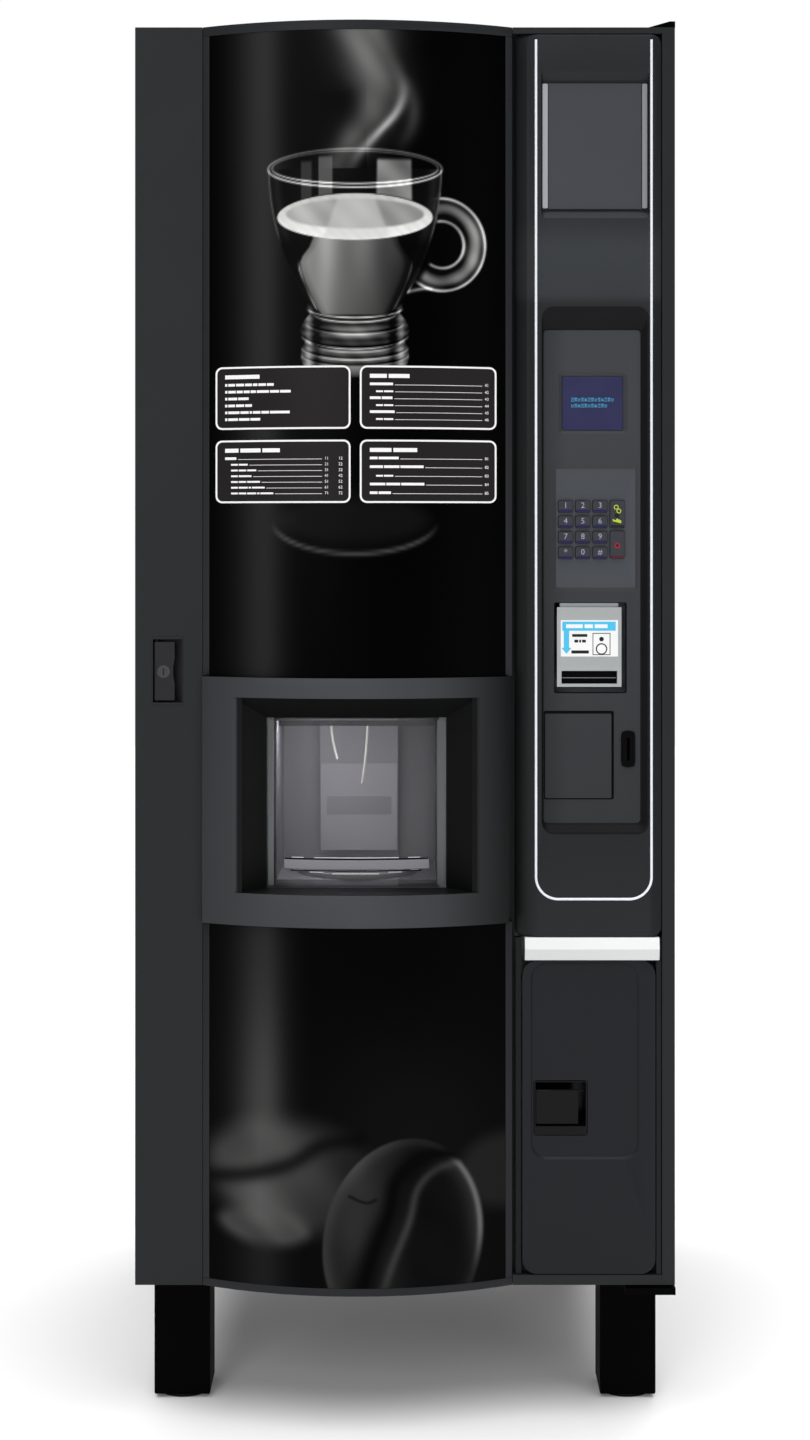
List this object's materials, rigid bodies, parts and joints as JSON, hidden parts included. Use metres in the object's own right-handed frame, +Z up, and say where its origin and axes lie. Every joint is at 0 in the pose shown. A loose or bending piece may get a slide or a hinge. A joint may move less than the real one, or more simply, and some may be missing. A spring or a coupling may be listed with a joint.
{
  "type": "hot drink vending machine",
  "caption": "Free-standing hot drink vending machine with a hinged full-height door, bowed graphic front, lifting delivery window, keypad and payment column.",
  "frame": {"origin": "on the floor, under the middle of the whole machine", "axes": "+Z up, +X to the right and +Y to the back for someone facing the door"},
  "size_m": [0.711, 0.813, 1.8382],
  "materials": {
    "cabinet_steel": "black textured powder coat",
    "leg_steel": "satin black powder coat",
    "foot_rubber": "matte",
    "hinge_steel": "satin black",
    "shelf_zinc": "zinc plated",
    "canister_plastic": "translucent food-grade",
    "auger_plastic": "moulded",
    "motor_metal": "moulded and cast",
    "tank_steel": "brushed stainless",
    "brewer_plastic": "moulded",
    "turret_plastic": "moulded",
    "station_plastic": "moulded",
    "grille_plastic": "moulded",
    "bucket_plastic": "moulded",
    "inlet_brass": "brass thread and black socket",
    "door_steel": "black textured powder coat",
    "liner_zinc": "plain sheet",
    "surround_plastic": "moulded",
    "graphic_gloss": "printed, high gloss",
    "bezel_plastic": "fine-grained moulding",
    "window_clear": "clear, smoke grey",
    "fascia_plastic": "satin moulding",
    "info_plastic": "satin print",
    "display_glass": "tinted",
    "bill_metal": "brushed plate",
    "light_plastic": "opal white",
    "return_plastic": "gloss black",
    "lock_plastic": "satin black",
    "lock_metal": "satin",
    "key_plastic": "satin, dark blue lower edge"
  },
  "bodies": {
    "cabinet": {"cabinet_left_side": "cabinet_steel", "cabinet_right_side": "cabinet_steel", "cabinet_back": "cabinet_steel", "cabinet_top": "cabinet_steel", "cabinet_floor": "cabinet_steel", "legs": "leg_steel", "levelling_feet": "foot_rubber", "hinge_plates": "hinge_steel", "inner_frame": "shelf_zinc", "ingredient_canisters": "canister_plastic", "drive_motors": "motor_metal", "mixing_bowls": "auger_plastic", "water_tank": "tank_steel", "brewer_body": "brewer_plastic", "cup_station": "station_plastic", "drip_grille": "grille_plastic", "waste_bucket": "bucket_plastic", "rear_inlets": "inlet_brass"},
    "door": {"door_frame": "door_steel", "door_liner": "liner_zinc", "graphic_surround": "surround_plastic", "graphic_panel_upper": "graphic_gloss", "graphic_panel_lower": "graphic_gloss", "delivery_bezel": "bezel_plastic", "control_fascia": "fascia_plastic", "info_panel": "info_plastic", "control_module": "fascia_plastic", "display_window": "display_glass", "bill_validator": "bill_metal", "reader_cover": "fascia_plastic", "coin_slot": "fascia_plastic", "light_bar": "light_plastic", "lower_panel": "fascia_plastic", "coin_return_cup": "return_plastic", "lock_pocket": "lock_plastic", "coin_changer": "motor_metal"},
    "window": {"delivery_window": "window_clear"},
    "return_flap": {"coin_return_flap": "return_plastic"},
    "lock_handle": {"lock_handle": "lock_plastic"},
    "lock_cylinder": {"lock_cylinder": "lock_metal"},
    "latch_bar": {"latch_bar": "shelf_zinc"},
    "auger_left": {"auger_left": "auger_plastic"},
    "auger_middle": {"auger_middle": "auger_plastic"},
    "auger_right": {"auger_right": "auger_plastic"},
    "brewer_piston": {"brewer_piston": "motor_metal"},
    "cup_turret": {"cup_turret": "turret_plastic"},
    "key_1": {"key_1": "key_plastic"},
    "key_2": {"key_2": "key_plastic"},
    "key_3": {"key_3": "key_plastic"},
    "key_4": {"key_4": "key_plastic"},
    "key_5": {"key_5": "key_plastic"},
    "key_6": {"key_6": "key_plastic"},
    "key_7": {"key_7": "key_plastic"},
    "key_8": {"key_8": "key_plastic"},
    "key_9": {"key_9": "key_plastic"},
    "key_star": {"key_star": "key_plastic"},
    "key_0": {"key_0": "key_plastic"},
    "key_hash": {"key_hash": "key_plastic"},
    "key_coin_return": {"key_coin_return": "key_plastic"},
    "key_cancel": {"key_cancel": "key_plastic"}
  },
  "joints": [
    {"name": "door_hinge", "type": "hinge", "parent": "cabinet", "child": "door", "pos_m": [0.3466, -0.3365, 0.9], "axis": [0, 0, 1], "range_deg": [0, 115]},
    {"name": "window_lift", "type": "slide", "parent": "door", "child": "window", "axis": [0, 0, 1], "range_m": [0, 0.19]},
    {"name": "lock_handle_turn", "type": "hinge", "parent": "door", "child": "lock_handle", "pos_m": [-0.3274, -0.3465, 0.9833], "axis": [0, 0, -1], "range_deg": [0, 45]},
    {"name": "lock_cylinder_turn", "type": "hinge", "parent": "lock_handle", "child": "lock_cylinder", "pos_m": [-0.3175, -0.3465, 0.9826], "axis": [0, 1, 0], "range_deg": [0, 90]},
    {"name": "latch_bar_lift", "type": "slide", "parent": "door", "child": "latch_bar", "axis": [0, 0, 1], "range_m": [0, 0.0157]},
    {"name": "return_flap_swing", "type": "hinge", "parent": "door", "child": "return_flap", "pos_m": [0.205, -0.3425, 0.4296], "axis": [1, 0, 0], "range_deg": [0, 60]},
    {"name": "auger_left_turn", "type": "hinge", "parent": "cabinet", "child": "auger_left", "pos_m": [-0.29, -0.1, 1.334], "axis": [0, 1, 0], "continuous": true},
    {"name": "auger_middle_turn", "type": "hinge", "parent": "cabinet", "child": "auger_middle", "pos_m": [-0.168, -0.1, 1.334], "axis": [0, 1, 0], "continuous": true},
    {"name": "auger_right_turn", "type": "hinge", "parent": "cabinet", "child": "auger_right", "pos_m": [-0.046, -0.1, 1.334], "axis": [0, 1, 0], "continuous": true},
    {"name": "brewer_piston_stroke", "type": "slide", "parent": "cabinet", "child": "brewer_piston", "axis": [0, 0, -1], "range_m": [0, 0.12]},
    {"name": "cup_turret_turn", "type": "hinge", "parent": "cabinet", "child": "cup_turret", "pos_m": [0.195, 0.13, 1.5], "axis": [0, 0, 1], "continuous": true},
    {"name": "key_1_press", "type": "slide", "parent": "door", "child": "key_1", "axis": [0, 1, 0], "range_m": [0, 0.002], "stiffness_N_per_m": 300},
    {"name": "key_2_press", "type": "slide", "parent": "door", "child": "key_2", "axis": [0, 1, 0], "range_m": [0, 0.002], "stiffness_N_per_m": 300},
    {"name": "key_3_press", "type": "slide", "parent": "door", "child": "key_3", "axis": [0, 1, 0], "range_m": [0, 0.002], "stiffness_N_per_m": 300},
    {"name": "key_4_press", "type": "slide", "parent": "door", "child": "key_4", "axis": [0, 1, 0], "range_m": [0, 0.002], "stiffness_N_per_m": 300},
    {"name": "key_5_press", "type": "slide", "parent": "door", "child": "key_5", "axis": [0, 1, 0], "range_m": [0, 0.002], "stiffness_N_per_m": 300},
    {"name": "key_6_press", "type": "slide", "parent": "door", "child": "key_6", "axis": [0, 1, 0], "range_m": [0, 0.002], "stiffness_N_per_m": 300},
    {"name": "key_7_press", "type": "slide", "parent": "door", "child": "key_7", "axis": [0, 1, 0], "range_m": [0, 0.002], "stiffness_N_per_m": 300},
    {"name": "key_8_press", "type": "slide", "parent": "door", "child": "key_8", "axis": [0, 1, 0], "range_m": [0, 0.002], "stiffness_N_per_m": 300},
    {"name": "key_9_press", "type": "slide", "parent": "door", "child": "key_9", "axis": [0, 1, 0], "range_m": [0, 0.002], "stiffness_N_per_m": 300},
    {"name": "key_star_press", "type": "slide", "parent": "door", "child": "key_star", "axis": [0, 1, 0], "range_m": [0, 0.002], "stiffness_N_per_m": 300},
    {"name": "key_0_press", "type": "slide", "parent": "door", "child": "key_0", "axis": [0, 1, 0], "range_m": [0, 0.002], "stiffness_N_per_m": 300},
    {"name": "key_hash_press", "type": "slide", "parent": "door", "child": "key_hash", "axis": [0, 1, 0], "range_m": [0, 0.002], "stiffness_N_per_m": 300},
    {"name": "key_coin_return_press", "type": "slide", "parent": "door", "child": "key_coin_return", "axis": [0, 1, 0], "range_m": [0, 0.002], "stiffness_N_per_m": 300},
    {"name": "key_cancel_press", "type": "slide", "parent": "door", "child": "key_cancel", "axis": [0, 1, 0], "range_m": [0, 0.002], "stiffness_N_per_m": 300}
  ],
  "couplings": [
    {"joint": "lock_handle_turn", "follows": "latch_bar_lift", "rad_per_m": 50}
  ]
}
